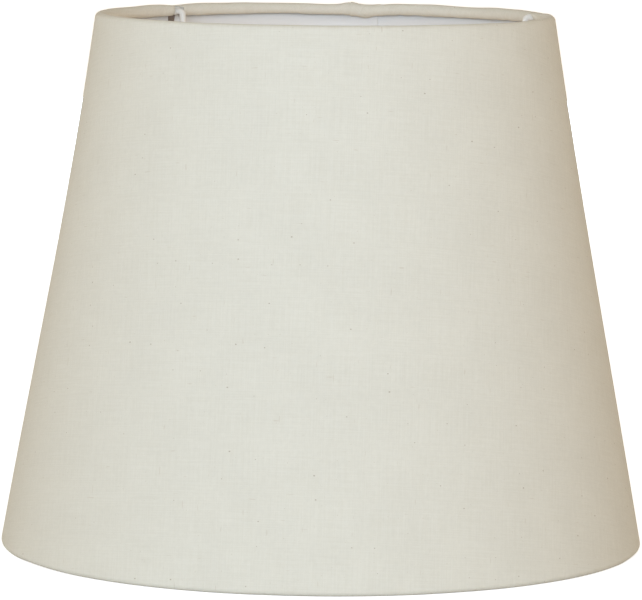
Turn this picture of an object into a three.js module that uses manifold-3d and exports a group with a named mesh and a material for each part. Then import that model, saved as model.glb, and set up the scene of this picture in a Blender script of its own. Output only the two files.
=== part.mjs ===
// A tapered hard-backed lamp shade: a cone of natural cotton on a plastic lining, stretched between two
// wire rings. The cloth is rolled over both rings. Three bent wire arms hold a fitter ring below the
// top opening, and a loose plastic reducer lies in that ring.
//
// Millimetres, +Z up. The origin is the centre of the bottom rim, which the shade stands on.
// +Y is about half way between two of the arms, close to the seam; the third arm points to -Y.
import * as THREE from "three";
import { mergeVertices } from "three/addons/utils/BufferGeometryUtils.js";
import Module from "manifold-3d";

// ---- Driving dimensions ----
const BOTTOM_DIAMETER = 300; // over the bottom hem
const TOP_DIAMETER = 214; // over the cloth where it meets the top hem
const HEIGHT = 249;

const CLOTH = 0.6; // thickness of the cotton
const LINING = 0.5; // thickness of the plastic sheet
const GAP = 0.3; // glue line between two layers, and clearance round the wires
const WIRE = 3; // diameter of both rings and of the arms
const LAP = 13; // overlap of the cloth and of the lining at the seam
const SEAM_ANGLE = -4.5; // degrees clockwise from +Y to the middle of the seam
const TAPE_WIDTH = 9;
const TAPE = 0.2;

const FITTER_DROP = 35; // from the top of the shade to the middle of the fitter ring
const FITTER_BORE = 42; // passes a large screw holder
const FITTER_DIAMETER = 58;
const FITTER_THICKNESS = 1.6;
const ARM_STAND = 6; // from the middle of the ring's wire in to the arm's shoulder
const ARM_SHOULDER = 3; // radius of the upper bend, on the wire's centre line
const ARM_LEAN = 4; // degrees the arm leans in as it comes down
const ARM_ELBOW = 10; // radius of the lower bend
// Where each arm stands in degrees clockwise from +Y, and how high the middle of its level end is above
// the middle of the top ring. The arms are set by hand, so they differ a little.
const ARMS = {
  arm_left: { angle: 301, rise: -0.9 },
  arm_right: { angle: 58.2, rise: 0.3 },
  arm_front: { angle: 180, rise: -0.3 },
};
const SLIT = 4.4; // width of the cut in the top hem where an arm passes

const REDUCER_BORE = 29; // passes a small screw holder
const REDUCER_SPIGOT = 41.2; // loose fit in the fitter ring
const REDUCER_FLANGE = 51;
const REDUCER_FLANGE_THICKNESS = 1.5;
const REDUCER_DEPTH = 3.2; // how far the spigot reaches below the flange

const SEGMENTS = 72; // facets round the shade
const WIRE_SIDES = 10;
const ARM_STEPS = 60; // lengths that an arm is divided in
const HEM_STEP = 30; // degrees between two corners of a hem's section

// ---- Where the wall and the rings are ----
const HEM_IN = WIRE / 2 + GAP; // from the middle of a wire to the inside of the cloth round it
const HEM_OUT = HEM_IN + CLOTH;
const LEAN = wallLean();
const bottomRing = { r: BOTTOM_DIAMETER / 2 - HEM_OUT, z: HEM_OUT };
const topRing = { r: TOP_DIAMETER / 2 - HEM_OUT * Math.cos(LEAN), z: HEIGHT - HEM_OUT };
const WALL_LENGTH = Math.hypot(bottomRing.r - topRing.r, topRing.z - bottomRing.z);
const FITTER_HEIGHT = HEIGHT - FITTER_DROP;

// The wall leans in by this angle from upright. It touches both hems, so the angle is found by repeating.
function wallLean() {
  const rise = HEIGHT - 2 * HEM_OUT;
  let lean = 0;
  for (let i = 0; i < 8; i++) {
    const run = BOTTOM_DIAMETER / 2 - HEM_OUT - (TOP_DIAMETER / 2 - HEM_OUT * Math.cos(lean));
    lean = Math.atan2(run, rise);
  }
  return lean;
}

// The point at a distance up the wall from the bottom ring, and out from the line through both wires.
function onWall(up, out) {
  return {
    r: bottomRing.r - up * Math.sin(LEAN) + out * Math.cos(LEAN),
    z: bottomRing.z + up * Math.cos(LEAN) + out * Math.sin(LEAN),
  };
}

// ---- Helpers ----
const radians = THREE.MathUtils.degToRad;

// Turns a closed outline of [radius, height] points all the way round the axis.
function revolve(outline) {
  const points = [...outline, outline[0]].map(([r, z]) => new THREE.Vector2(r, z));
  return new THREE.LatheGeometry(points, SEGMENTS).rotateX(Math.PI / 2);
}

// Corners of an arc round a wire, from one angle to another, in degrees from straight out towards up.
// Their facets touch the true circle, and one facet lies level at the top or bottom of the arc.
function arc(centre, radius, from, to) {
  const corner = radius / Math.cos(radians(HEM_STEP / 2));
  const point = (degrees, distance) => [
    centre.r + distance * Math.cos(radians(degrees)),
    centre.z + distance * Math.sin(radians(degrees)),
  ];
  const turn = Math.sign(to - from);
  const points = [point(from, radius)];
  let angle = HEM_STEP / 2 + HEM_STEP * Math.round((from + (turn * HEM_STEP) / 4) / HEM_STEP);
  if (turn < 0) angle -= HEM_STEP;
  for (; turn * (to - angle) > HEM_STEP / 4; angle += turn * HEM_STEP) {
    if (turn * (angle - from) > HEM_STEP / 4) points.push(point(angle, corner));
  }
  points.push(point(to, radius));
  return points;
}

// A closed sheet wrapped on the cone. The map takes three numbers from 0 to 1, across the sheet, through
// its thickness from the inside out and up the wall. It gives an angle from the seam, clockwise, and
// distances out and up.
function wrapped(across, along, map) {
  const seam = radians(SEAM_ANGLE);
  const geometry = new THREE.BoxGeometry(1, 1, 1, across, 1, along);
  const position = geometry.attributes.position;
  for (let i = 0; i < position.count; i++) {
    const { angle, out, up } = map(
      position.getX(i) + 0.5,
      position.getY(i) + 0.5,
      position.getZ(i) + 0.5,
    );
    const { r, z } = onWall(up, out);
    position.setXYZ(i, r * Math.sin(seam + angle), r * Math.cos(seam + angle), z);
  }
  return geometry;
}

const wasm = await Module();
wasm.setup();

// A closed geometry as a manifold-3d solid.
function toSolid(geometry) {
  const bare = new THREE.BufferGeometry().setAttribute("position", geometry.getAttribute("position"));
  if (geometry.index) bare.setIndex(geometry.index);
  const merged = mergeVertices(bare, 1e-4);
  const vertProperties = merged.attributes.position.array;
  const triVerts = new Uint32Array(merged.index.array);
  return new wasm.Manifold(new wasm.Mesh({ numProp: 3, vertProperties, triVerts }));
}

function fromSolid(solid) {
  const mesh = solid.getMesh();
  return new THREE.BufferGeometry()
    .setAttribute("position", new THREE.BufferAttribute(mesh.vertProperties, 3))
    .setIndex(new THREE.BufferAttribute(mesh.triVerts, 1));
}

// ---- Materials ----
const finish = (color, roughness, metalness = 0) =>
  new THREE.MeshStandardMaterial({ color, roughness, metalness });
const calico = finish(0xdcd9cc, 0.9);
const liningWhite = finish(0xe6e5e3, 0.55);
const whiteCoat = finish(0xf0efec, 0.4, 0.1);
const tapeClear = finish(0xe9e4d2, 0.5);
const whiteNylon = finish(0xf1f0ec, 0.45);

// ---- Pieces ----

// The cotton cover: one wall whose edges roll over the rings and tuck in under the wires. It is cut away
// on the inside of the top hem where each arm passes.
function coverCloth() {
  const lean = THREE.MathUtils.radToDeg(LEAN);
  const tucked = 280; // degrees the hem goes round its wire
  const outline = [
    ...arc(bottomRing, HEM_OUT, lean - tucked, lean),
    ...arc(topRing, HEM_OUT, lean, lean + tucked),
    ...arc(topRing, HEM_IN, lean + tucked, lean),
    ...arc(bottomRing, HEM_IN, lean, lean - tucked),
  ];
  let solid = toSolid(revolve(outline));
  for (const { angle } of Object.values(ARMS)) solid = solid.subtract(toSolid(hemSlit(angle)));
  return fromSolid(solid);
}

// The space that one slit takes out of the top hem: open towards the axis, upwards and downwards. It ends
// over the inside of the wire, so that the cloth over the top of the wire stays whole.
function hemSlit(angle) {
  const reach = 7;
  const outer = HEM_IN * 0.65;
  const over = -1.1; // where the cut edge of the cloth stands on top of the roll
  const section = new THREE.Shape([
    new THREE.Vector2(-reach, -reach),
    new THREE.Vector2(outer, -reach),
    new THREE.Vector2(outer, -0.4),
    new THREE.Vector2(-0.4, WIRE / 2 - 0.2),
    new THREE.Vector2(over, WIRE / 2 - 0.2),
    new THREE.Vector2(over, reach),
    new THREE.Vector2(-reach, reach),
  ]);
  return new THREE.ExtrudeGeometry(section, { depth: SLIT, bevelEnabled: false })
    .translate(topRing.r, topRing.z, -SLIT / 2)
    .rotateX(Math.PI / 2)
    .rotateZ(Math.PI / 2 - radians(angle));
}

// The turned-in end of the cover, stuck down over its other end. It runs straight up the wall.
function seamLap() {
  const inside = HEM_OUT + GAP + TAPE + GAP;
  const clear = 0.5;
  return wrapped(4, 1, (across, through, along) => {
    const up = clear + along * (WALL_LENGTH - 2 * clear);
    const out = inside + through * CLOTH;
    return { angle: ((across - 0.5) * LAP) / onWall(up, out).r, out, up };
  });
}

// The strip of double-sided tape that holds the lap down.
function seamTape() {
  const clear = 2;
  return wrapped(4, 1, (across, through, along) => {
    const up = clear + along * (WALL_LENGTH - 2 * clear);
    const out = HEM_OUT + GAP + through * TAPE;
    return { angle: ((across - 0.5) * TAPE_WIDTH) / onWall(up, out).r, out, up };
  });
}

// The plastic sheet behind the cloth: one turn and a lap, which steps inwards over the sheet's first end.
function lining() {
  const outside = HEM_IN - GAP;
  const end = HEM_OUT + GAP; // stops short of each hem
  const step = 9; // length of the slope where the lap rises over the first end
  return wrapped(SEGMENTS + 3, 1, (across, through, along) => {
    const up = end + along * (WALL_LENGTH - 2 * end);
    const turn = 2 * Math.PI * onWall(up, outside).r;
    const distance = across * (turn + LAP);
    const rise = THREE.MathUtils.smoothstep(distance, turn - step, turn - 1);
    const out = outside - (1 - through) * LINING - rise * (LINING + GAP);
    return { angle: (distance - LAP / 2) / onWall(up, outside).r, out, up };
  });
}

function ring(centre) {
  return new THREE.TorusGeometry(centre.r, WIRE / 2, WIRE_SIDES, SEGMENTS).translate(0, 0, centre.z);
}

// The middle line of an arm in its own plane, x outwards: level from the inside of the ring to the
// shoulder, down to the elbow, and level again to the rim of the fitter ring. Both corners are rounded.
function armLine(rise) {
  const level = topRing.z + rise;
  const start = new THREE.Vector3(topRing.r - WIRE / 2 - GAP, 0, level);
  const shoulder = new THREE.Vector3(topRing.r - ARM_STAND, 0, level);
  const inwards = (level - FITTER_HEIGHT) * Math.tan(radians(ARM_LEAN));
  const elbow = new THREE.Vector3(shoulder.x - inwards, 0, FITTER_HEIGHT);
  const end = new THREE.Vector3(FITTER_DIAMETER / 2 + GAP, 0, FITTER_HEIGHT);
  const line = new THREE.CurvePath();
  let from = start;
  for (const [corner, next, radius] of [[shoulder, elbow, ARM_SHOULDER], [elbow, end, ARM_ELBOW]]) {
    const back = from.clone().sub(corner).normalize();
    const onwards = next.clone().sub(corner).normalize();
    const cut = radius / Math.tan(back.angleTo(onwards) / 2);
    const bendStart = corner.clone().addScaledVector(back, cut);
    const bendEnd = corner.clone().addScaledVector(onwards, cut);
    line.add(new THREE.LineCurve3(from, bendStart));
    line.add(new THREE.QuadraticBezierCurve3(bendStart, corner, bendEnd));
    from = bendEnd;
  }
  line.add(new THREE.LineCurve3(from, end));
  return line;
}

// A wire arm, turned to its place round the axis.
function arm({ angle, rise }) {
  const section = new THREE.Shape().absarc(0, 0, WIRE / 2, 0, 2 * Math.PI);
  const settings = { steps: ARM_STEPS, curveSegments: 4, extrudePath: armLine(rise) };
  return new THREE.ExtrudeGeometry(section, settings)
    .rotateZ(Math.PI / 2 - radians(angle));
}

// The pressed steel washer that the arms carry.
function fitterRing() {
  const [inner, outer] = [FITTER_BORE / 2, FITTER_DIAMETER / 2];
  const [low, high] = [FITTER_HEIGHT - FITTER_THICKNESS / 2, FITTER_HEIGHT + FITTER_THICKNESS / 2];
  const edge = 0.3;
  return revolve([
    [inner, low + edge],
    [inner + edge, low],
    [outer - edge, low],
    [outer, low + edge],
    [outer, high - edge],
    [outer - edge, high],
    [inner + edge, high],
    [inner, high - edge],
  ]);
}

// The loose reducer: a flange on the fitter ring and a spigot down through its hole.
function reducerRing() {
  const seat = FITTER_HEIGHT + FITTER_THICKNESS / 2 + GAP;
  const top = seat + REDUCER_FLANGE_THICKNESS;
  const foot = seat - REDUCER_DEPTH;
  const edge = 0.4;
  return revolve([
    [REDUCER_BORE / 2, foot],
    [REDUCER_SPIGOT / 2 - edge, foot],
    [REDUCER_SPIGOT / 2, foot + edge],
    [REDUCER_SPIGOT / 2, seat],
    [REDUCER_FLANGE / 2, seat],
    [REDUCER_FLANGE / 2, top - edge],
    [REDUCER_FLANGE / 2 - edge, top],
    [REDUCER_BORE / 2, top],
  ]);
}

// ---- The shade ----
const shade = new THREE.Group();

function add(name, geometry, material) {
  const mesh = new THREE.Mesh(geometry, material);
  mesh.name = name;
  shade.add(mesh);
}

add("cover_cloth", coverCloth(), calico);
add("seam_lap", seamLap(), calico);
add("seam_tape", seamTape(), tapeClear);
add("lining", lining(), liningWhite);
add("top_ring", ring(topRing), whiteCoat);
add("bottom_ring", ring(bottomRing), whiteCoat);
for (const [name, place] of Object.entries(ARMS)) add(name, arm(place), whiteCoat);
add("fitter_ring", fitterRing(), whiteCoat);
add("reducer_ring", reducerRing(), whiteNylon);

export default shade;
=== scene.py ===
# %% [markdown]
# # A tapered cotton lamp shade
# The real shade is a sandwich: undyed cotton stuck to a white plastic sheet, bent into a cone and stretched
# between two wire rings. The cotton's edges are rolled over the rings and tucked in. Inside, three bent
# wires carry a steel ring that sits on the lamp holder, and a loose plastic reducer lies in that ring.
# The model from CAD gives every size and place, so it is loaded first.

import math

import bmesh
import bpy
import numpy as np
from mathutils import Matrix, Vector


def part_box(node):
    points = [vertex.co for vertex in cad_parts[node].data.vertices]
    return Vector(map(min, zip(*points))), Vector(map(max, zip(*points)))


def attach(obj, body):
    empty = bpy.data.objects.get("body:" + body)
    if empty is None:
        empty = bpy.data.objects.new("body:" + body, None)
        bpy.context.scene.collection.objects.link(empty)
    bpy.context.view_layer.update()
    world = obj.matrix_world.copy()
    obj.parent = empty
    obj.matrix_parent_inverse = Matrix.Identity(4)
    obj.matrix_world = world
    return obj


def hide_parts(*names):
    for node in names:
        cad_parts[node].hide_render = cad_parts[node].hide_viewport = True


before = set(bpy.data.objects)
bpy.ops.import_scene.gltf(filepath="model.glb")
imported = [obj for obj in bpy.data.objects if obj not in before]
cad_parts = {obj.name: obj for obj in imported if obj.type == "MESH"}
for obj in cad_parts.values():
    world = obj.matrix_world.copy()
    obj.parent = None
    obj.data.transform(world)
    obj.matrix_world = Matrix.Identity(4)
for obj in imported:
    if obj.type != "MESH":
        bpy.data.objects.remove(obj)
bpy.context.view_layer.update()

# %% [markdown]
# ## Where the wires are
# Everything follows the two ring wires. Their middles come from the boxes of the CAD rings, and the wall
# of the shade is the straight line that touches both hems. Angles round the shade are counted as on a
# compass seen from above, clockwise from +Y, because the seam is near +Y.

# %% Read the main sizes from the CAD rings
MM = 0.001
WIRE = 1.5 * MM  # radius of the ring wires and of the arms
CLOTH = 0.45 * MM  # thickness of the cotton
HEM = 2.4 * MM  # from the middle of a wire to the outside of the cloth round it
LAP = 13 * MM  # overlap at the seam
SEAM = math.radians(-4.5)  # the middle of the seam
ARMS = {"arm_left": 301, "arm_right": 58.2, "arm_front": 180}  # compass degrees


def ring_centre(node):
    """Radius and height of a ring wire's middle line: the box's half width less the wire's radius, and
    the middle of its height."""
    low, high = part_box(node)
    return high[0] - WIRE, (low[2] + high[2]) / 2


BOTTOM_R, BOTTOM_Z = ring_centre("bottom_ring")
TOP_R, TOP_Z = ring_centre("top_ring")
LEAN = math.atan2(BOTTOM_R - TOP_R, TOP_Z - BOTTOM_Z)
WALL = math.hypot(BOTTOM_R - TOP_R, TOP_Z - BOTTOM_Z)
print(f"ring radii {BOTTOM_R:.4f} and {TOP_R:.4f} m, wall {WALL:.4f} m long")
print(f"the wall leans {math.degrees(LEAN):.2f} degrees")

# %% [markdown]
# ## Camera
# A long lens far away gives the shade its calm, nearly parallel outline. The camera looks down a little,
# so that the far rim and the white lining show over the near rim. It stands 15 degrees round to the
# right, where the third arm hides behind the front wall and the seam stays at the back.

# %% Camera
AZIMUTH = math.radians(15)
PITCH = math.radians(6.37)
ROLL = math.radians(0.5)
DISTANCE = 2.23
EYE_HEIGHT = 0.3638

toward = np.array([-math.sin(AZIMUTH), math.cos(AZIMUTH), 0.0])
right = np.array([math.cos(AZIMUTH), math.sin(AZIMUTH), 0.0])
forward = toward * math.cos(PITCH) - np.array([0, 0, math.sin(PITCH)])
above = np.cross(right, forward)
rolled_right = right * math.cos(ROLL) + above * math.sin(ROLL)
rolled_up = above * math.cos(ROLL) - right * math.sin(ROLL)

camera = bpy.data.objects.new("camera", bpy.data.cameras.new("camera"))
bpy.context.scene.collection.objects.link(camera)
camera.data.sensor_width = 36
camera.data.lens = 268.7
camera.data.shift_x = -0.0028
camera.data.clip_end = 100
place = np.eye(4)
place[:3, :3] = np.column_stack([rolled_right, rolled_up, -forward])
place[:3, 3] = -toward * DISTANCE + np.array([0, 0, EYE_HEIGHT])
camera.matrix_world = Matrix(place.tolist())
bpy.context.scene.camera = camera
print("camera at", place[:3, 3].round(3))

# %% [markdown]
# ## Small tools for node materials
# A node material is a little network. These helpers add one node and return its output, so that a
# material further down reads like a recipe, one line for each step.

# %% Node helpers


def node(tree, kind, **settings):
    """Adds a node and sets its properties."""
    made = tree.nodes.new(kind)
    for name, value in settings.items():
        setattr(made, name, value)
    return made


def feed(tree, socket, value):
    """Connects an output to a socket, or writes a plain value in it."""
    if isinstance(value, bpy.types.NodeSocket):
        tree.links.new(value, socket)
    elif value is not None:
        socket.default_value = value


def maths(tree, operation, *values):
    """One arithmetic step on numbers or outputs."""
    made = node(tree, "ShaderNodeMath", operation=operation)
    for socket, value in zip(made.inputs, values):
        feed(tree, socket, value)
    return made.outputs[0]


def stretched(tree, vector, factors):
    """The vector times a factor for each axis: a large factor makes a pattern fine along that axis."""
    made = node(tree, "ShaderNodeVectorMath", operation="MULTIPLY")
    feed(tree, made.inputs[0], vector)
    feed(tree, made.inputs[1], factors)
    return made.outputs[0]


def noise(tree, vector, scale=1.0, detail=2.0, roughness=0.5):
    """Smooth noise from 0 to 1, mostly near one half."""
    made = node(tree, "ShaderNodeTexNoise")
    feed(tree, made.inputs["Vector"], vector)
    feed(tree, made.inputs["Scale"], scale)
    feed(tree, made.inputs["Detail"], detail)
    feed(tree, made.inputs["Roughness"], roughness)
    return made.outputs[0]


def between(tree, value, low, high, to_low=0.0, to_high=1.0):
    """Moves the range from low to high smoothly to another range, and holds its ends."""
    made = node(tree, "ShaderNodeMapRange", interpolation_type="SMOOTHSTEP")
    for socket, number in zip(made.inputs, (value, low, high, to_low, to_high)):
        feed(tree, socket, number)
    return made.outputs[0]


def blend_colour(tree, factor, first, second, kind="MIX"):
    """first where the factor is 0, second where it is 1."""
    made = node(tree, "ShaderNodeMix", data_type="RGBA", blend_type=kind)
    feed(tree, made.inputs[0], factor)
    feed(tree, made.inputs[6], first)
    feed(tree, made.inputs[7], second)
    return made.outputs[2]


def bump(tree, height, distance, strength=1.0, under=None):
    """Tilts the surface by a height pattern, distance metres deep, on top of another bump."""
    made = node(tree, "ShaderNodeBump")
    feed(tree, made.inputs["Height"], height)
    feed(tree, made.inputs["Distance"], distance)
    feed(tree, made.inputs["Strength"], strength)
    feed(tree, made.inputs["Normal"], under)
    return made.outputs[0]


def new_finish(name, roughness, specular=0.5):
    """A material with one Principled shader, its constants on the shader's own sockets."""
    made = bpy.data.materials.new(name)
    made.use_nodes = True
    shader = made.node_tree.nodes["Principled BSDF"]
    shader.inputs["Roughness"].default_value = roughness
    shader.inputs["Specular IOR Level"].default_value = specular
    return made, made.node_tree, shader


print("node helpers ready")

# %% [markdown]
# ## Floor and light
# The light is plain: a warm surround that is bright near the floor and dark overhead, and one large cool
# softbox close to the camera's own direction. On a round wall that gives a bright middle that falls off
# softly and turns warmer to both sides, and edges that face up stay a little darker. Three weaker
# softboxes fill the sides and the back, and a small warm light on the floor inside stands for the light
# that comes through the wall. The floor looks brighter to the camera than it is, so that it stays pale.

# %% Surround and floor
HORIZON = (0.93, 0.785, 0.612, 1)
ZENITH = (0.27, 0.23, 0.18, 1)
FLOOR_GLOW = 0.68  # seen by the camera only

world = bpy.data.worlds.new("surround")
bpy.context.scene.world = world
world.use_nodes = True
tree = world.node_tree
direction = node(tree, "ShaderNodeSeparateXYZ")
feed(tree, direction.inputs[0], node(tree, "ShaderNodeTexCoord").outputs["Generated"])
steepness = maths(tree, "MAXIMUM", direction.outputs[2], 0.0)
feed(tree, tree.nodes["Background"].inputs["Color"], blend_colour(tree, steepness, HORIZON, ZENITH))

reach = 12.0
floor_mesh = bpy.data.meshes.new("floor")
floor_mesh.from_pydata(
    [(-reach, -reach, 0), (reach, -reach, 0), (reach, reach, 0), (-reach, reach, 0)],
    [],
    [(0, 1, 2, 3)],
)
floor = bpy.data.objects.new("floor", floor_mesh)
bpy.context.scene.collection.objects.link(floor)
floor_finish, tree, shader = new_finish("pale_floor", 0.9, 0.1)
seen = node(tree, "ShaderNodeLightPath").outputs["Is Camera Ray"]
pale = blend_colour(tree, seen, (0.74, 0.72, 0.70, 1), (0.97, 0.98, 1.0, 1))
feed(tree, shader.inputs["Base Color"], pale)
feed(tree, shader.inputs["Emission Color"], (1, 1, 1, 1))
feed(tree, shader.inputs["Emission Strength"], maths(tree, "MULTIPLY", seen, FLOOR_GLOW))
floor_mesh.materials.append(floor_finish)
print("surround and floor placed")

# %% Lights
COOL = (0.64, 0.82, 1.0)
AIM_HEIGHT = 0.12
SOFTBOX_DISTANCE = 3.0
GLOW_HEIGHT = 0.004


def softbox(name, azimuth, elevation, width, power, colour):
    """A square area light that faces the middle of the shade, from an azimuth where 0 is -Y and 90 is +X,
    and at an elevation above it."""
    data = bpy.data.lights.new(name, "AREA")
    data.size = width
    data.energy = power
    data.color = colour
    lamp = bpy.data.objects.new(name, data)
    bpy.context.scene.collection.objects.link(lamp)
    turn, lift = math.radians(azimuth), math.radians(elevation)
    away = np.array([math.sin(turn) * math.cos(lift), -math.cos(turn) * math.cos(lift), math.sin(lift)])
    side = np.array([math.cos(turn), math.sin(turn), 0.0])
    where = np.eye(4)
    where[:3, :3] = np.column_stack([side, np.cross(away, side), away])
    where[:3, 3] = away * SOFTBOX_DISTANCE + np.array([0, 0, AIM_HEIGHT])
    lamp.matrix_world = Matrix(where.tolist())


softbox("key", 3, 12, 1.6, 51.8, COOL)
softbox("right_fill", 75, 8, 1.6, 10, (1.0, 1.0, 1.0))
softbox("left_fill", -75, 12, 1.6, 6.1, (0.97, 1.0, 0.92))
softbox("back_fill", 195, 4, 0.8, 20, COOL)
glow_data = bpy.data.lights.new("glow_through_the_wall", "AREA")
glow_data.shape = "DISK"
glow_data.size = 0.22
glow_data.energy = 0.1
glow_data.color = (1.0, 0.79, 0.61)
glow = bpy.data.objects.new("glow_through_the_wall", glow_data)
glow.matrix_world = Matrix([[1, 0, 0, 0], [0, -1, 0, 0], [0, 0, -1, GLOW_HEIGHT], [0, 0, 0, 1]])
glow.visible_camera = False
bpy.context.scene.collection.objects.link(glow)
bpy.context.scene.view_settings.view_transform = "Standard"
print("four softboxes and the inner glow placed")

# %% [markdown]
# ## Surfaces from arrays
# Each piece is a grid of points: the rows follow its section and the columns go round the shade. All
# points are worked out at once as arrays, and faces join each point to its neighbours. A grid can close
# on itself round the section, round the shade, or both.

# %% Grid and mesh helpers


def grid_faces(rows, columns, close_rows=False, close_columns=False):
    """Four corners for each face of a grid of numbered points, counted row by row."""
    number = np.arange(rows * columns).reshape(rows, columns)
    if close_rows:
        number = np.vstack([number, number[:1]])
    if close_columns:
        number = np.hstack([number, number[:, :1]])
    corners = number[:-1, :-1], number[1:, :-1], number[1:, 1:], number[:-1, 1:]
    return np.stack(corners, axis=-1).reshape(-1, 4)


def round_the_axis(radius, angle, height):
    """Points from radius, compass angle and height: x = radius sin angle, y = radius cos angle."""
    return np.stack(np.broadcast_arrays(radius * np.sin(angle), radius * np.cos(angle), height), axis=-1)


def piece(name, points, faces, finish, body, uv=None):
    """A smooth-shaded object from points and four-cornered faces, riding on a body. uv holds two numbers
    a point."""
    mesh = bpy.data.meshes.new(name)
    mesh.from_pydata(points.reshape(-1, 3).tolist(), [], faces.tolist())
    mesh.polygons.foreach_set("use_smooth", np.ones(len(faces), bool))
    if uv is not None:
        corner = uv.reshape(-1, 2)[faces.reshape(-1)]
        mesh.uv_layers.new(name="cut").data.foreach_set("uv", corner.astype(np.float32).reshape(-1))
    mesh.materials.append(finish)
    mesh.update()
    made = bpy.data.objects.new(name, mesh)
    bpy.context.scene.collection.objects.link(made)
    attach(made, body)
    print(f"{name}: {len(faces)} faces")
    return made


def smoothstep(low, high, value):
    """0 up to low, 1 from high, and between them 3 s squared less 2 s cubed, where s is the share of the
    way."""
    share = np.clip((value - low) / (high - low), 0, 1)
    return share * share * (3 - 2 * share)


def lathe(name, section, segments, finish, body):
    """Turns a closed section of (radius, height) points round the axis."""
    outline = np.asarray(section)
    angle = np.linspace(0, 2 * np.pi, segments, endpoint=False)
    points = round_the_axis(outline[:, :1], angle[None, :], outline[:, 1:])
    faces = grid_faces(len(outline), segments, close_rows=True, close_columns=True)
    return piece(name, points, faces, finish, body)


def facing_out(made):
    """Turns every face of a closed shape outwards."""
    work = bmesh.new()
    work.from_mesh(made.data)
    bmesh.ops.recalc_face_normals(work, faces=work.faces)
    work.to_mesh(made.data)
    work.free()


print("mesh helpers ready")

# %% [markdown]
# ## Calico
# Calico is plain-woven, undyed cotton. Up close it is a chequer of over and under threads, some thicker
# than others, with seed flecks and a few brown hairs left in the yarn. The pattern is drawn on the flat
# cut: the cover's UV map holds metres on the cloth as it lay on the cutting table. So threads have
# their real size, run straight where the cloth does, and tilt towards the seam as on a real cone.

# %% The calico finish
THREAD = 0.42 * MM


def calico_finish():
    """Height of the weave: sine across times sine along, taken as a bulge whichever thread is on top.
    Colour: undyed cotton, with streaks for uneven threads, soft clouds, flecks and hairs, and painted
    shade that darkens it in the hollows between the threads."""
    made, tree, shader = new_finish("calico", 0.88, 0.25)
    cut = node(tree, "ShaderNodeUVMap", uv_map="cut").outputs[0]
    axes = node(tree, "ShaderNodeSeparateXYZ")
    feed(tree, axes.inputs[0], cut)
    turns = math.pi / THREAD
    across = maths(tree, "SINE", maths(tree, "MULTIPLY", axes.outputs[0], turns))
    along = maths(tree, "SINE", maths(tree, "MULTIPLY", axes.outputs[1], turns))
    over = maths(tree, "MULTIPLY", across, along)
    bulge = maths(tree, "ABSOLUTE", over)

    weft = noise(tree, stretched(tree, cut, (45, 1900, 1)), detail=3)
    warp = noise(tree, stretched(tree, cut, (1900, 45, 1)), detail=3)
    slub = maths(tree, "ADD", weft, warp)
    cloud = noise(tree, cut, scale=38, detail=4, roughness=0.6)
    mottle = noise(tree, cut, scale=420, detail=3, roughness=0.7)

    cotton = (0.775, 0.752, 0.672, 1)
    yarn = between(tree, slub, 0.75, 1.25)
    tint = blend_colour(tree, yarn, (0.735, 0.708, 0.620, 1), (0.810, 0.790, 0.716, 1))
    tint = blend_colour(tree, 0.38, cotton, tint)
    soft = between(tree, cloud, 0.3, 0.7, 0.984, 1.010)
    shade = maths(tree, "ADD", soft, between(tree, mottle, 0.2, 0.8, -0.02, 0.02))
    # painted shade: the colour drops to 0.93 where the weave's bulge is low, in the hollows between threads
    shade = maths(tree, "MULTIPLY", shade, between(tree, bulge, 0.0, 0.5, 0.93, 1.01))
    tint = blend_colour(tree, 1.0, tint, shade, "MULTIPLY")

    seed, husk = (0.36, 0.29, 0.20, 1), (0.52, 0.45, 0.34, 1)
    tint = flecked(tree, tint, cut, cell=11 * MM, size=0.038, share=0.42, colour=seed, depth=0.62)
    tint = flecked(tree, tint, cut, cell=4.5 * MM, size=0.05, share=0.30, colour=husk, depth=0.40)
    for factors in ((900, 120, 1), (130, 800, 1)):
        hair = noise(tree, stretched(tree, cut, factors), detail=1)
        tint = blend_colour(tree, between(tree, hair, 0.74, 0.80, 0, 0.25), tint, (0.50, 0.41, 0.30, 1))
    feed(tree, shader.inputs["Base Color"], tint)

    uneven = bump(tree, slub, 0.05 * MM, 0.45)
    feed(tree, shader.inputs["Normal"], bump(tree, bulge, 0.05 * MM, 0.7, uneven))
    return made


def flecked(tree, tint, vector, cell, size, share, colour, depth):
    """Adds specks: the plane is cut in cells, and a cell whose random number is under share gets one
    speck of up to size times the cell, stained towards colour by depth."""
    cells = node(tree, "ShaderNodeTexVoronoi", voronoi_dimensions="2D")
    feed(tree, cells.inputs["Vector"], stretched(tree, vector, (0.8 / cell, 1.15 / cell, 1)))
    feed(tree, cells.inputs["Scale"], 1.0)
    feed(tree, cells.inputs["Randomness"], 1.0)
    chance = node(tree, "ShaderNodeSeparateColor")
    feed(tree, chance.inputs[0], cells.outputs["Color"])
    radius = maths(tree, "MULTIPLY", chance.outputs[1], size)
    inside = between(tree, maths(tree, "SUBTRACT", radius, cells.outputs["Distance"]), 0.0, 0.012)
    chosen = maths(tree, "LESS_THAN", chance.outputs[0], share)
    amount = maths(tree, "MULTIPLY", maths(tree, "MULTIPLY", inside, chosen), depth)
    return blend_colour(tree, amount, tint, colour)


calico = calico_finish()
print("calico: threads", THREAD / MM, "mm apart")

# %% [markdown]
# ## The section of the cover
# Cut through the wall, the cotton is one long line: tucked in above the bottom wire, round under it, up
# the wall, over the top wire and tucked in below it. Each point of that line stands at a distance from
# the line through both wires, in a direction that turns as the cloth rolls. Adding to that distance
# thickens the roll or lifts the lap, whatever the direction is.

# %% Section of the cover
TUCK = math.radians(280)  # how far the cloth goes round each wire
MIDDLE = HEM - CLOTH / 2  # from the line through the wires to the middle of the cloth
HEM_ROWS = 26
WALL_ROWS = 26


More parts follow.
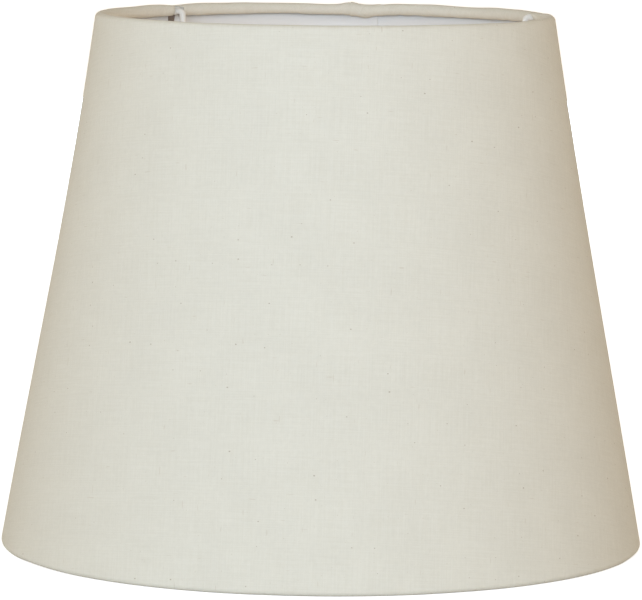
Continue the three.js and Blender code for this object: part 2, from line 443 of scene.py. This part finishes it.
def cover_section():
    """For each row: the point on the line through the wires, the direction from there to the cloth as an
    angle from outwards to upwards, the roll angle past the wall, negative at the bottom, and the
    distance up the cloth from where it leaves the bottom hem."""
    roll = np.linspace(0, TUCK, HEM_ROWS)
    up = np.linspace(0, WALL, WALL_ROWS)
    bottom, wall, top = -roll[:0:-1], np.zeros(WALL_ROWS), roll[1:]
    rolled = np.concatenate([bottom, wall, top])
    place_up = np.concatenate([np.zeros(len(bottom)), up, np.full(len(top), WALL)])
    along = place_up + rolled * MIDDLE
    radius = BOTTOM_R - place_up * math.sin(LEAN)
    height = BOTTOM_Z + place_up * math.cos(LEAN)
    return radius, height, LEAN + rolled, rolled, place_up, along


LINE_R, LINE_Z, FACING, ROLLED, UP, ALONG = cover_section()
SECTION_R = LINE_R + MIDDLE * np.cos(FACING)
print(f"the cloth's section is {ALONG[-1] - ALONG[0]:.4f} m long in {len(ALONG)} rows")

# %% [markdown]
# ## Round the shade, with a lap
# The cloth starts at the seam with its edge turned in, runs once round, and ends under its start. Each
# column has a whole turn or part of one, plus a distance in metres, so that the lap stays equally wide
# from top to bottom although the cone narrows. A third number lifts the outer layer of the lap.

# %% Columns of the cover
FOLD = 0.30 * MM  # radius of the turned edge
FOLD_DEPTH = 6 * MM
STEP = 3.2 * MM  # width of the step down past the end below
TAPE = 0.15 * MM  # thickness of the tape under the seam
RISE = CLOTH + TAPE + 0.06 * MM + 2 * FOLD  # of the outer layer over the wall's cloth
ROUND_COLUMNS = 420


def cover_columns():
    """Columns along the cloth: the turned-in edge, its half-round fold, the outer layer, a step down past
    the end below, once round the shade, and the end below. Gives turns, distance from the seam's
    middle, rise, the same distance measured along the cloth laid flat, and how far a column belongs to
    the end below, from 0 to 1."""
    half = LAP / 2
    bend = np.linspace(0, np.pi, 7)
    inner = np.linspace(FOLD_DEPTH, FOLD, 5)[:-1] - half
    fold = FOLD - half - FOLD * np.sin(bend)
    outer = np.linspace(FOLD, LAP, 9)[1:] - half
    step = np.linspace(0, STEP, 7)[1:] + half
    ends = half + STEP
    share = np.linspace(0, 1, ROUND_COLUMNS)[1:]
    last = np.linspace(0, LAP - 0.4 * MM, 8)[1:] - half
    at_seam = len(inner) + len(fold) + len(outer) + len(step)
    turns = np.concatenate([np.zeros(at_seam), share, np.ones(len(last))])
    shift = np.concatenate([inner, fold, outer, step, ends + share * (-half - ends), last])
    low = RISE - 2 * FOLD
    rise = np.concatenate(
        [
            np.full(len(inner), low),
            RISE - FOLD - FOLD * np.cos(bend),
            np.full(len(outer), RISE),
            RISE * (1 - smoothstep(0, STEP, step - half)),
            np.zeros(len(share) + len(last)),
        ]
    )
    flat = shift.copy()
    flat[: len(inner)] = 2 * (FOLD - half) - shift[: len(inner)] - np.pi * FOLD
    flat[len(inner) : len(inner) + len(fold)] = FOLD - half - (np.pi - bend) * FOLD
    under = np.where(turns == 1, smoothstep(-half, 3 * MM - half, shift), 0)
    return turns, shift, rise, flat, under


TURNS, SHIFT, LIFT, FLAT_SHIFT, UNDER = cover_columns()
print("columns of the cover:", len(TURNS))

# %% [markdown]
# ## Slits where the arms pass
# The hem can't go round a ring where an arm is welded to it. There the rolled edge is snipped from its
# raw edge up the inside of the roll, not equally far at each arm, and the cloth parts round the wire. A
# snip is a line between two columns that share their points above its start and part below it.

# %% Snips
# For each arm: the roll angle where its snip starts, and how far the cloth moves away before it and after
# it on the compass
SNIPS = {
    "arm_left": (math.radians(122), 1.9 * MM, 4.5 * MM),
    "arm_right": (math.radians(162), 1.8 * MM, 1.2 * MM),
    "arm_front": (math.radians(125), 2.3 * MM, 2.3 * MM),
}


def add_snips():
    """Doubles the column nearest to each arm. Gives the columns again, which ones are the second of a
    pair, and the roll angle where each column's snip starts."""
    angle = (SEAM + 2 * np.pi * TURNS + SHIFT / TOP_R) % (2 * np.pi)
    where = [np.argmin(np.abs(angle - math.radians(degrees))) for degrees in ARMS.values()]
    order = np.sort(np.concatenate([np.arange(len(TURNS)), where]))
    second = np.concatenate([[False], order[1:] == order[:-1]])
    starts = np.array([SNIPS[name][0] for name in ARMS])
    away = np.abs(angle[order][:, None] - np.radians(list(ARMS.values())))
    return order, second, starts[np.argmin(away, axis=1)]


ORDER, SECOND, SNIP_START = add_snips()
TURNS, SHIFT, LIFT, FLAT_SHIFT, UNDER = (
    values[ORDER] for values in (TURNS, SHIFT, LIFT, FLAT_SHIFT, UNDER)
)
print("snips at columns", np.flatnonzero(SECOND))

# %% [markdown]
# ## The cover
# Rolled by hand, a hem is never quite even: it swells and thins over a few centimetres, and on the
# inside, where the cloth has to fit a smaller circle, it ripples. Sums of sine waves of whole numbers
# round the shade give both, and they meet without a step. The thickness is put on by Solidify, so the
# raw edges are real edges.

# %% Build the cover


def waves(angle, counts, heights, phases, slant, rolled):
    """Sum of height times sine of (count times angle, plus phase, plus slant times roll angle)."""
    total = np.zeros(np.broadcast(angle, rolled).shape)
    for count, height, phase in zip(counts, heights, phases):
        total += height * np.sin(count * angle + phase + slant * rolled)
    return total


def bell(angle, middle, width):
    """A bell curve round the shade: e to the power of minus the square of (distance along the top ring
    from the middle, over the width)."""
    away = ((angle - middle + np.pi) % (2 * np.pi) - np.pi) * TOP_R
    return np.exp(-((away / width) ** 2))


def hem_lumps(angle, rolled):
    """What the top roll has in some places: it is thin on top over the left arm, lies over the level end
    of the right arm inside, is pulled tight on both sides of the lap, and swells in a slanting ridge where
    the lap's folded edge goes over the wire. All round, it is fuller inside than on top."""
    crest = np.exp(-(((rolled - 1.4) / 0.7) ** 2))
    lumps = -0.65 * crest * bell(angle, math.radians(ARMS["arm_left"]), 6 * MM)
    flap = np.exp(-(((rolled - 2.6) / 0.45) ** 2))
    lumps = lumps + 1.5 * flap * bell(angle, math.radians(ARMS["arm_right"]) + 1.6 * MM / TOP_R, 3.4 * MM)
    ridge = SEAM - (LAP / 2 + 0.3 * MM) / TOP_R + 2.4 * MM / TOP_R * (rolled - 1.5)
    lumps = lumps + 0.85 * bell(angle, ridge, 3.4 * MM)
    lumps = lumps - 0.45 * bell(angle, SEAM + 2 * MM / TOP_R, 8 * MM)
    lumps = lumps - 0.40 * bell(angle, math.radians(-15), 9 * MM)
    belly = 0.8 * smoothstep(1.8, 4.0, rolled) * (1 - 0.7 * smoothstep(4.45, 4.9, rolled))
    return MM * (lumps * smoothstep(0.2, 1.0, rolled) + belly)


def hem_unevenness(angle, rolled):
    """Slow swells over the whole roll, smaller at the front, and short ripples only on its inside."""
    roll = np.abs(rolled)
    top = rolled > 0
    phases = np.where(top, 0.0, 1.9)
    heights = (0.10, 0.10, 0.09, 0.07, 0.04)
    swell = waves(angle + phases, (5, 8, 13, 21, 34), heights, (0.3, 2.1, 4.0, 1.2, 5.1), 0.2, roll)
    ripple = waves(angle + phases, (67, 91, 118), (0.05, 0.05, 0.04), (0.7, 3.3, 1.8), 1.1, roll)
    ripple *= waves(angle, (3, 7), (0.5, 0.5), (1.0, 2.0), 0, roll) + 1
    swell *= 1 - 0.6 * smoothstep(0.3, 0.9, -np.cos(angle + math.radians(15)))
    uneven = MM * (swell * smoothstep(0.3, 1.6, roll) + ripple * smoothstep(1.4, 2.6, roll))
    return uneven + hem_lumps(angle, rolled)


def waist(up, angle):
    """The wall draws in a little between the rings, most at two thirds of its height: a depth times the
    sine of pi times (share of the way up to the power 1.6). The depth goes from 0.84 mm on one side to
    1.6 mm on the other as a sine of the compass angle."""
    depth = (1.22 - 0.38 * np.sin(angle + math.radians(15))) * MM
    return -depth * np.sin(np.pi * (up / WALL) ** 1.6)


def dip(angle):
    """How far the top ring lies below its plane, where the seam and the slack beside it drag it down: a
    sum of three bells."""
    return MM * (
        0.75 * bell(angle, SEAM + 1.5 * MM / TOP_R, 11 * MM)
        + 0.45 * bell(angle, math.radians(-15), 10 * MM)
        + 0.35 * bell(angle, math.radians(25), 14 * MM)
    )


def part_snips(angle, rolled):
    """Moves the columns beside an arm apart below the start of its snip. The move is greatest at the arm
    and dies out over 9 mm."""
    moved = np.zeros(np.broadcast(angle, rolled).shape)
    for name, degrees in ARMS.items():
        start, before, past = SNIPS[name]
        open_up = smoothstep(start - 0.15, start + 0.55, rolled)
        beside = (angle - math.radians(degrees) + np.pi) % (2 * np.pi) - np.pi
        move = np.where(SECOND[None, :] | (beside > 1e-3), past, -before)
        near = np.exp(-np.abs(beside) * TOP_R / (9 * MM))
        moved += np.where(np.abs(beside) * TOP_R < 25 * MM, near * move * open_up / TOP_R, 0)
    return moved


def on_wall(up, out, angle):
    """Points at a distance up the line through both wires and out from it, turned to a compass angle and
    lowered with the dip of the top ring by the square of the share of the way up."""
    radius = BOTTOM_R - up * math.sin(LEAN) + out * math.cos(LEAN)
    height = BOTTOM_Z + up * math.cos(LEAN) + out * math.sin(LEAN) - dip(angle) * (up / WALL) ** 2
    return round_the_axis(radius, angle, height)


def build_cover():
    """Point = line through the wires + (middle distance + rise + unevenness) along the roll's direction,
    turned to its compass angle. The rise of the lap is squeezed where the cloth rolls over the wires,
    and nothing stands out on the underside, which the shade rests on."""
    rolled, facing, up = ROLLED[:, None], FACING[:, None], UP[:, None]
    angle = SEAM + 2 * np.pi * TURNS[None, :] + SHIFT[None, :] / SECTION_R[:, None]
    squeeze = 1 - 0.70 * smoothstep(0.2, 1.2, np.abs(rolled))
    squeeze = np.where(rolled < 0, squeeze * (1 - 0.9 * np.exp(-(((rolled + 1.75) / 0.9) ** 2))), squeeze)
    under = -0.3 * MM * UNDER[None, :] * smoothstep(0.2, 1.2, np.abs(rolled))
    out = MIDDLE + LIFT[None, :] * squeeze + under + hem_unevenness(angle, rolled) + waist(up, angle)
    sag = np.where(rolled < 0, 1, 0) * np.exp(-(((rolled + LEAN + np.pi / 2) / 0.5) ** 2))
    out = out - sag * np.maximum(out - MIDDLE, 0)
    radius = LINE_R[:, None] + out * np.cos(facing)
    height = LINE_Z[:, None] + out * np.sin(facing) - dip(angle) * (up / WALL) ** 2
    points = round_the_axis(radius, angle + part_snips(angle, rolled), height)

    rows, columns = radius.shape
    faces = grid_faces(rows, columns)
    left = faces[:, 0] % columns
    keep = ~SECOND[left + 1]
    number = np.arange(rows * columns).reshape(rows, columns)
    joined = (ROLLED[:, None] < SNIP_START[None, :]) & SECOND[None, :]
    number[:, 1:] = np.where(joined[:, 1:], number[:, :-1], number[:, 1:])
    faces = number.reshape(-1)[faces[keep]]

    apex = SECTION_R[np.argmax(ROLLED >= 0)] / math.sin(LEAN)
    slant = apex - ALONG[:, None]
    swing = (2 * np.pi * (TURNS[None, :] - 0.5) + FLAT_SHIFT[None, :] / SECTION_R[:, None]) * math.sin(LEAN)
    uv = np.stack([slant * np.sin(swing), -slant * np.cos(swing)], axis=-1)

    cover = piece("calico_cover", points, faces[:, ::-1], calico, "shade", uv)
    solid = cover.modifiers.new("thickness", "SOLIDIFY")
    solid.thickness = CLOTH
    solid.offset = 0
    wide, narrow = apex - ALONG[0], apex - ALONG[-1]
    spread = (2 * np.pi + (LAP + FOLD_DEPTH) / TOP_R) * math.sin(LEAN)
    area = spread / 2 * (wide**2 - narrow**2)
    flat = (2 * wide * math.sin(spread / 2), wide - narrow * math.cos(spread / 2))
    return cover, flat, area


cover, cover_flat, cover_area = build_cover()
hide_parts("cover_cloth", "seam_lap")
print(f"the cover is cut from {cover_flat[0]:.3f} by {cover_flat[1]:.3f} m, {cover_area:.4f} square metres")

# %% [markdown]
# ## The lining
# Behind the cotton is a white plastic sheet, rolled with it into the cone. Its last end lies over its
# first, which shows inside as one straight edge. It stops just short of both wires, where the tucked
# cotton covers its edges.

# %% The lining's finish and sheet
LINING = 0.5 * MM
LINING_OUT = 1.25 * MM  # from the line through the wires to the middle of the sheet
LINING_END = 2.75 * MM  # from the middle of a wire to the edge of the sheet


def lining_finish():
    """White sheet with a satin gloss: faint clouds, a few specks, a fine calendered grain, and the
    cotton behind it printing through as a very shallow unevenness."""
    made, tree, shader = new_finish("lining_sheet", 0.42, 0.45)
    place = node(tree, "ShaderNodeTexCoord").outputs["Object"]
    cut = node(tree, "ShaderNodeUVMap", uv_map="cut").outputs[0]
    cloud = noise(tree, place, scale=22, detail=3)
    grain = noise(tree, place, scale=1500, detail=2)
    clouded = between(tree, cloud, 0.3, 0.7)
    tint = blend_colour(tree, clouded, (0.845, 0.845, 0.850, 1), (0.880, 0.880, 0.882, 1))
    specks = noise(tree, cut, scale=900, detail=1)
    tint = blend_colour(tree, between(tree, specks, 0.72, 0.8, 0, 0.25), tint, (0.70, 0.68, 0.62, 1))
    feed(tree, shader.inputs["Base Color"], tint)
    print_through = noise(tree, stretched(tree, cut, (1200, 1200, 1)), detail=1)
    first = bump(tree, print_through, 0.02 * MM, 0.5)
    feed(tree, shader.inputs["Normal"], bump(tree, grain, 0.01 * MM, 0.4, first))
    return made


def build_lining():
    """One turn and a lap on the cone. The last end rises inwards by a sheet and a glue line, over 4.5 mm,
    just before it meets the first."""
    up = np.linspace(LINING_END, WALL - LINING_END, 26)[:, None]
    share = np.concatenate([np.linspace(0, 0.985, 360)[:-1], np.linspace(0.985, 1, 24)])[None, :]
    radius = BOTTOM_R - up * math.sin(LEAN) + LINING_OUT * math.cos(LEAN)
    turn = 2 * np.pi * radius
    distance = share * (turn + LAP)
    lift = (LINING + 0.05 * MM) * smoothstep(turn - 5 * MM, turn - 0.5 * MM, distance)
    angle = SEAM + (distance - LAP / 2) / radius
    points = on_wall(up, LINING_OUT - lift + waist(up, angle), angle)
    slant = radius / math.sin(LEAN)
    swing = (angle - SEAM - np.pi) * math.sin(LEAN)
    uv = np.stack([slant * np.sin(swing), -slant * np.cos(swing)], axis=-1)
    sheet = piece("lining_sheet", points, grid_faces(*angle.shape)[:, ::-1], lining_finish(), "shade", uv)
    solid = sheet.modifiers.new("thickness", "SOLIDIFY")
    solid.thickness = LINING
    solid.offset = 0
    wide, narrow = slant[0, 0], slant[-1, 0]
    spread = (2 * np.pi + LAP / TOP_R) * math.sin(LEAN)
    area = spread / 2 * (wide**2 - narrow**2)
    return sheet, (2 * wide * math.sin(spread / 2), wide - narrow * math.cos(spread / 2)), area


lining, lining_flat, lining_area = build_lining()
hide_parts("lining")
print(f"the lining is cut from {lining_flat[0]:.3f} by {lining_flat[1]:.3f} m")

# %% [markdown]
# ## A dark tab of painted shadow
# Below one of the snips a narrow dark slab lies on the lining, where the arm's shadow falls. Its dark
# brown colour is painted shadow. It is a thin curved slab that narrows downwards to a round end.

# %% The dark tab of painted shadow
TAB = math.radians(-59.2)  # compass angle of its middle


def shadow_tab_finish():
    """Painted shadow: an uneven dark brown that stands for the arm's shadow on the lining, with a faint bump
    of weave.
    """
    made, tree, shader = new_finish("painted_shadow_brown", 0.5, 0.4)
    place = node(tree, "ShaderNodeTexCoord").outputs["Object"]
    shadow_mottle = noise(tree, place, scale=700, detail=3)
    weave = noise(tree, place, scale=2400, detail=1)
    # painted shadow: the dark brown colour stands for the shadow of the arm on the lining
    brown = blend_colour(tree, shadow_mottle, (0.17, 0.135, 0.11, 1), (0.27, 0.22, 0.19, 1))
    feed(tree, shader.inputs["Base Color"], brown)
    feed(tree, shader.inputs["Normal"], bump(tree, weave, 0.04 * MM, 0.6))
    return made


def build_shadow_tab():
    """Down: distance below the top wire along the lining. Half width: from 2.4 mm to 1.3 mm evenly, and
    rounded off over the last fifth. The slab's inside bulges by a parabola across."""
    share = np.linspace(0, 1, 24)[:, None]
    across = np.linspace(-1, 1, 9)[None, :]
    down = 1.6 * MM + 9.4 * MM * share
    half = (2.4 - 1.1 * share) * MM * np.sqrt(np.clip(1 - smoothstep(0.8, 1, share) ** 2, 0.01, 1))
    up = WALL - down
    thick = 0.1 * MM + 0.35 * MM * (1 - across**2)
    angle = TAB + across * half / TOP_R
    face = LINING_OUT - LINING / 2 + waist(up, angle)
    loop = np.concatenate([on_wall(up, face - thick, angle), on_wall(up, face, angle)[:, ::-1]], axis=1)
    rows, columns = loop.shape[:2]
    faces = grid_faces(rows, columns, close_columns=True)
    side = np.arange(columns // 2 - 1)
    first, opposite = side, columns - 1 - side
    cap = np.column_stack([first, first + 1, opposite - 1, opposite])
    faces = np.vstack([faces, cap, cap + (rows - 1) * columns])
    made = piece("painted_shadow_tab", loop, faces, shadow_tab_finish(), "shade")
    facing_out(made)
    return made


tab = build_shadow_tab()

# %% [markdown]
# ## Tape under the seam
# A strip of double-sided tape holds the lap down. Only its edge can be seen, and only from very near, but
# it is what the outer layer lies on.

# %% Tape
TAPE_HALF_WIDTH = 4.5 * MM


def tape_finish():
    """Clear tape yellowed a little, with fine lengthwise streaks."""
    made, tree, shader = new_finish("clear_tape", 0.35, 0.5)
    place = node(tree, "ShaderNodeTexCoord").outputs["Object"]
    streak = noise(tree, stretched(tree, place, (2500, 2500, 60)), detail=2)
    tint = blend_colour(tree, streak, (0.74, 0.70, 0.58, 1), (0.82, 0.79, 0.69, 1))
    feed(tree, shader.inputs["Base Color"], tint)
    feed(tree, shader.inputs["Normal"], bump(tree, streak, 0.01 * MM, 0.5))
    return made


def build_tape():
    """A strip on the cone: four sides of its thin section, swept up the wall and closed at both ends."""
    base = HEM + 0.02 * MM
    across = TAPE_HALF_WIDTH * np.array([-1, 1, 1, -1])[None, :]
    out = base + TAPE * np.array([0, 0, 1, 1])[None, :]
    up = np.linspace(3 * MM, WALL - 3 * MM, 26)[:, None]
    angle = SEAM + across / (BOTTOM_R - up * math.sin(LEAN))
    points = on_wall(up, out + waist(up, angle), angle)
    faces = grid_faces(len(up), 4, close_columns=True)
    last = 4 * (len(up) - 1)
    caps = np.array([[0, 1, 2, 3], [last + 3, last + 2, last + 1, last]])
    return piece("seam_tape_strip", points, np.vstack([faces, caps]), tape_finish(), "shade")


tape = build_tape()
facing_out(tape)
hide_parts("seam_tape")
print("tape", TAPE / MM, "mm thick")

# %% [markdown]
# ## Wire work
# Rings and arms are steel wire, welded and then powder-coated white. The rings are plain hoops, and the
# top one dips a little near the seam. An arm starts level at the inside of the top ring, turns down at a
# small shoulder, and turns again at an elbow to run in to the fitter ring. Its section is a circle
# carried along that line, and a small lump of weld joins it at each end.

# %% White powder coat


def coat_finish():
    """Powder coat: a soft orange-peel ripple, with fine dust in it and a slightly yellowed cloud."""
    made, tree, shader = new_finish("white_coat", 0.34, 0.5)
    place = node(tree, "ShaderNodeTexCoord").outputs["Object"]
    cloud = noise(tree, place, scale=60, detail=3)
    yellowed = between(tree, cloud, 0.3, 0.7)
    tint = blend_colour(tree, yellowed, (0.84, 0.835, 0.81, 1), (0.90, 0.90, 0.885, 1))
    dust = noise(tree, place, scale=2600, detail=1)
    tint = blend_colour(tree, between(tree, dust, 0.72, 0.78, 0, 0.5), tint, (0.62, 0.60, 0.56, 1))
    feed(tree, shader.inputs["Base Color"], tint)
    peel = noise(tree, place, scale=900, detail=2)
    feed(tree, shader.inputs["Normal"], bump(tree, peel, 0.04 * MM, 0.6))
    return made


white_coat = coat_finish()

# %% Ring wires


def ring_wire(name, radius, height, lowered, around=288, sides=20):
    """A hoop: a circle of the wire's radius carried round the axis, and lowered by lowered times the dip."""
    turn = np.linspace(0, 2 * np.pi, sides, endpoint=False)[:, None]
    angle = np.linspace(0, 2 * np.pi, around, endpoint=False)[None, :]
    middle = height - lowered * dip(angle)
    points = round_the_axis(radius + WIRE * np.cos(turn), angle, middle + WIRE * np.sin(turn))
    faces = grid_faces(sides, around, close_rows=True, close_columns=True)
    return piece(name, points, faces, white_coat, "shade")


for name, node_name, radius, height, lowered in (
    ("top_wire", "top_ring", TOP_R, TOP_Z, 1),
    ("bottom_wire", "bottom_ring", BOTTOM_R, BOTTOM_Z, 0),
):
    hoop = ring_wire(name, radius, height, lowered)
    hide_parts(node_name)

# %% Arms
fitter_low, fitter_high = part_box("fitter_ring")
FITTER_Z = (fitter_low[2] + fitter_high[2]) / 2
FITTER_R = fitter_high[0]
# From the middle of the ring up to the middle of each arm's level end, where minus is below
ARM_RISES = {"arm_left": -0.9 * MM, "arm_right": -0.1 * MM, "arm_front": -0.3 * MM}
ARM_STAND = 6 * MM  # from the middle of the ring's wire in to the shoulder
ARM_LEAN = math.radians(4)
SHOULDER, ELBOW = 1.9 * MM, 10 * MM  # radii of the bends


def bent(before, corner, after, radius, steps=14):
    """The arc that rounds a corner: it touches both legs, and its points turn evenly about its middle."""
    back, onwards = before - corner, after - corner
    back, onwards = back / np.linalg.norm(back), onwards / np.linalg.norm(onwards)
    half = math.acos(np.clip(back @ onwards, -1, 1)) / 2
    first, last = corner + back * radius / math.tan(half), corner + onwards * radius / math.tan(half)
    both = back + onwards
    middle = corner + both / np.linalg.norm(both) * radius / math.sin(half)
    turn = math.pi - 2 * half
    share = np.linspace(0, 1, steps)[:, None]
    swung = np.sin((1 - share) * turn) * (first - middle) + np.sin(share * turn) * (last - middle)
    return middle + swung / math.sin(turn)


def arm_line(rise):
    """The middle of an arm as (radius, height): level from the ring to the shoulder, down to the elbow,
    and level again to the fitter ring, with an arc at both corners."""
    level = TOP_Z + rise
    start = np.array([TOP_R - 1.3 * MM, level])
    shoulder = np.array([TOP_R - ARM_STAND, level])
    elbow = np.array([shoulder[0] - (level - FITTER_Z) * math.tan(ARM_LEAN), FITTER_Z])
    end = np.array([FITTER_R - 0.2 * MM, FITTER_Z])
    upper = bent(start, shoulder, elbow, SHOULDER)
    lower = bent(shoulder, elbow, end, ELBOW)
    drop = np.linspace(upper[-1], lower[0], 12)[1:-1]
    run = np.linspace(lower[-1], end, 16)[1:]
    return np.vstack([np.linspace(start, upper[0], 4)[:-1], upper, drop, lower, run])


def wire_along(line, radius, sides=16):
    """A circle carried along a flat line of (radius, height) points, with rounded ends. Gives points as
    (outwards, sideways, up) and faces."""
    ends = np.linspace(0, np.pi / 2, 5)[:-1]
    step = np.diff(line, axis=0)
    direction = np.vstack([step[:1], step[:-1] + step[1:], step[-1:]])
    direction /= np.linalg.norm(direction, axis=1, keepdims=True)
    start = line[0] - direction[0] * radius * 0.35 * np.cos(ends)[:, None]
    finish = line[-1] + direction[-1] * radius * 0.35 * np.cos(ends)[::-1, None]
    middle = np.vstack([start, line, finish])
    round_end = len(ends)
    heading = np.pad(direction, ((round_end, round_end), (0, 0)), mode="edge")
    taper = np.maximum(np.sin(ends), 0.02)
    width = radius * np.concatenate([taper, np.ones(len(line)), taper[::-1]])
    turn = np.linspace(0, 2 * np.pi, sides, endpoint=False)
    across = np.column_stack([-heading[:, 1], heading[:, 0]])
    flat = middle[:, None, :] + (width[:, None] * np.cos(turn))[..., None] * across[:, None, :]
    points = np.stack([flat[..., 0], width[:, None] * np.sin(turn), flat[..., 1]], axis=-1)
    faces = grid_faces(len(middle), sides, close_columns=True)
    count = len(middle) * sides
    tip = np.array([middle[0], middle[-1]])
    points = np.vstack([points.reshape(-1, 3), np.column_stack([tip[:, 0], [0, 0], tip[:, 1]])])
    first = np.arange(sides)
    after = (first + 1) % sides
    last = first + count - sides
    cap = np.column_stack([first, after, np.full(sides, count)])
    base = np.column_stack([np.roll(last, -1), last, np.full(sides, count + 1)])
    return points, faces.tolist() + cap.tolist() + base.tolist()


def lump(centre, sizes, rows=10, columns=14):
    """A rounded lump of weld: a sphere with a radius for each axis, lightly wrinkled, with a small flat
    face over each pole. Gives points and faces."""
    down = np.linspace(0.06, np.pi - 0.06, rows)[:, None]
    turn = np.linspace(0, 2 * np.pi, columns, endpoint=False)[None, :]
    swell = 1 + 0.06 * np.sin(3 * turn + 4 * down) + 0.04 * np.cos(5 * turn)
    level = np.sin(down)
    ball = np.broadcast_arrays(level * np.cos(turn), level * np.sin(turn), np.cos(down))
    points = np.asarray(centre) + np.asarray(sizes) * np.stack(ball, -1) * swell[..., None]
    rim = np.arange(columns)
    poles = [rim[::-1].tolist(), (rim + (rows - 1) * columns).tolist()]
    return points.reshape(-1, 3), grid_faces(rows, columns, close_columns=True).tolist() + poles


def build_arm(node_name, degrees):
    """One arm with its two welds, turned to its compass angle."""
    line = arm_line(ARM_RISES[node_name])
    top_weld = (line[0][0] - 0.3 * MM, -0.4 * MM, line[0][1] - 0.2 * MM)
    parts = [
        wire_along(line, WIRE),
        lump(top_weld, (1.2 * MM, 2.2 * MM, 1.6 * MM)),
        lump((FITTER_R, 0, FITTER_Z), (1.3 * MM, 2.1 * MM, 1.5 * MM)),
    ]
    corners, count = [], 0
    for some, faces in parts:
        corners += [[number + count for number in face] for face in faces]
        count += len(some)
    outwards, sideways, up = np.vstack([some for some, _ in parts]).T
    turn = math.radians(degrees)
    x = outwards * math.sin(turn) + sideways * math.cos(turn)
    y = outwards * math.cos(turn) - sideways * math.sin(turn)
    name = node_name + "_wire"
    mesh = bpy.data.meshes.new(name)
    mesh.from_pydata(np.column_stack([x, y, up]).tolist(), [], corners)
    mesh.polygons.foreach_set("use_smooth", np.ones(len(corners), bool))
    mesh.materials.append(white_coat)
    made = bpy.data.objects.new(name, mesh)
    bpy.context.scene.collection.objects.link(made)
    facing_out(made)
    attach(made, "shade")
    return made


for node_name, degrees in ARMS.items():
    arm = build_arm(node_name, degrees)
    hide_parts(node_name)
    print(arm.name, len(arm.data.polygons), "faces")

# %% [markdown]
# ## Fitter ring and reducer
# The fitter ring is a pressed steel washer with its edges rounded by the press and the coating. The
# reducer is moulded plastic: a flange with a raised inner rim, and a short spigot that drops through
# the ring's hole. Both are turned shapes with rounded corners.

# %% Rounded sections


def rounded(outline, radius, steps=5):
    """Cuts each corner of a closed outline and puts an arc-like curve in: points run from one cut to the
    other along a parabola whose middle is drawn to the corner."""
    outline = np.asarray(outline, float)
    before = np.roll(outline, 1, axis=0) - outline
    after = np.roll(outline, -1, axis=0) - outline
    short = np.minimum(np.linalg.norm(before, axis=1), np.linalg.norm(after, axis=1))
    cut = np.minimum(radius, 0.45 * short)[:, None]
    start = outline + before / np.linalg.norm(before, axis=1, keepdims=True) * cut
    stop = outline + after / np.linalg.norm(after, axis=1, keepdims=True) * cut
    share = np.linspace(0, 1, steps)[None, :, None]
    curve = (1 - share) ** 2 * start[:, None] + share**2 * stop[:, None]
    curve = curve + 2 * share * (1 - share) * outline[:, None]
    return curve.reshape(-1, 2)


FITTER_HOLE = 21 * MM  # radius
LIP = 0.25 * MM  # height of the edge round the hole, which the press leaves proud

fitter = lathe(
    "fitter_washer",
    rounded(
        [
            (FITTER_HOLE, fitter_low[2]),
            (FITTER_HOLE, fitter_high[2] + LIP),
            (FITTER_HOLE + 1.0 * MM, fitter_high[2] + LIP),
            (FITTER_HOLE + 1.6 * MM, fitter_high[2]),
            (FITTER_R, fitter_high[2]),
            (FITTER_R, fitter_low[2]),
        ],
        0.45 * MM,
    ),
    192,
    white_coat,
    "shade",
)
facing_out(fitter)
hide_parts("fitter_ring")

# %% Reducer


def nylon_finish():
    """Moulded plastic: a fine spark-eroded grain, faint rings from turning the mould, and a soft cloud."""
    made, tree, shader = new_finish("white_nylon", 0.45, 0.5)
    place = node(tree, "ShaderNodeTexCoord").outputs["Object"]
    cloud = noise(tree, place, scale=45, detail=3)
    clouded = between(tree, cloud, 0.3, 0.7)
    tint = blend_colour(tree, clouded, (0.83, 0.82, 0.785, 1), (0.88, 0.875, 0.85, 1))
    feed(tree, shader.inputs["Base Color"], tint)
    grain = noise(tree, place, scale=3200, detail=2)
    rings = node(tree, "ShaderNodeTexWave", wave_type="RINGS", rings_direction="Z")
    feed(tree, rings.inputs["Vector"], place)
    feed(tree, rings.inputs["Scale"], 260)
    first = bump(tree, rings.outputs["Fac"], 0.01 * MM, 0.3)
    feed(tree, shader.inputs["Normal"], bump(tree, grain, 0.02 * MM, 0.6, first))
    return made


low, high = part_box("reducer_ring")
flange_r, bore_r, spigot_r = high[0], 14.5 * MM, 20.6 * MM
seat = fitter_high[2] + 0.3 * MM
skin = 1.4 * MM  # of the spigot and of the wall round the bore
groove = low[2] + 1.6 * MM  # top of the hollow between the two
rim = high[2] + 0.5 * MM
reducer = lathe(
    "reducer_insert",
    rounded(
        [
            (bore_r, low[2]),
            (bore_r, rim),
            (bore_r + 1.6 * MM, rim),
            (bore_r + 1.9 * MM, high[2]),
            (flange_r, high[2]),
            (flange_r, seat),
            (spigot_r, seat),
            (spigot_r, low[2]),
            (spigot_r - skin, low[2]),
            (spigot_r - skin, groove),
            (bore_r + skin, groove),
            (bore_r + skin, low[2]),
        ],
        0.4 * MM,
    ),
    160,
    nylon_finish(),
    "reducer",
)
facing_out(reducer)
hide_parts("reducer_ring")
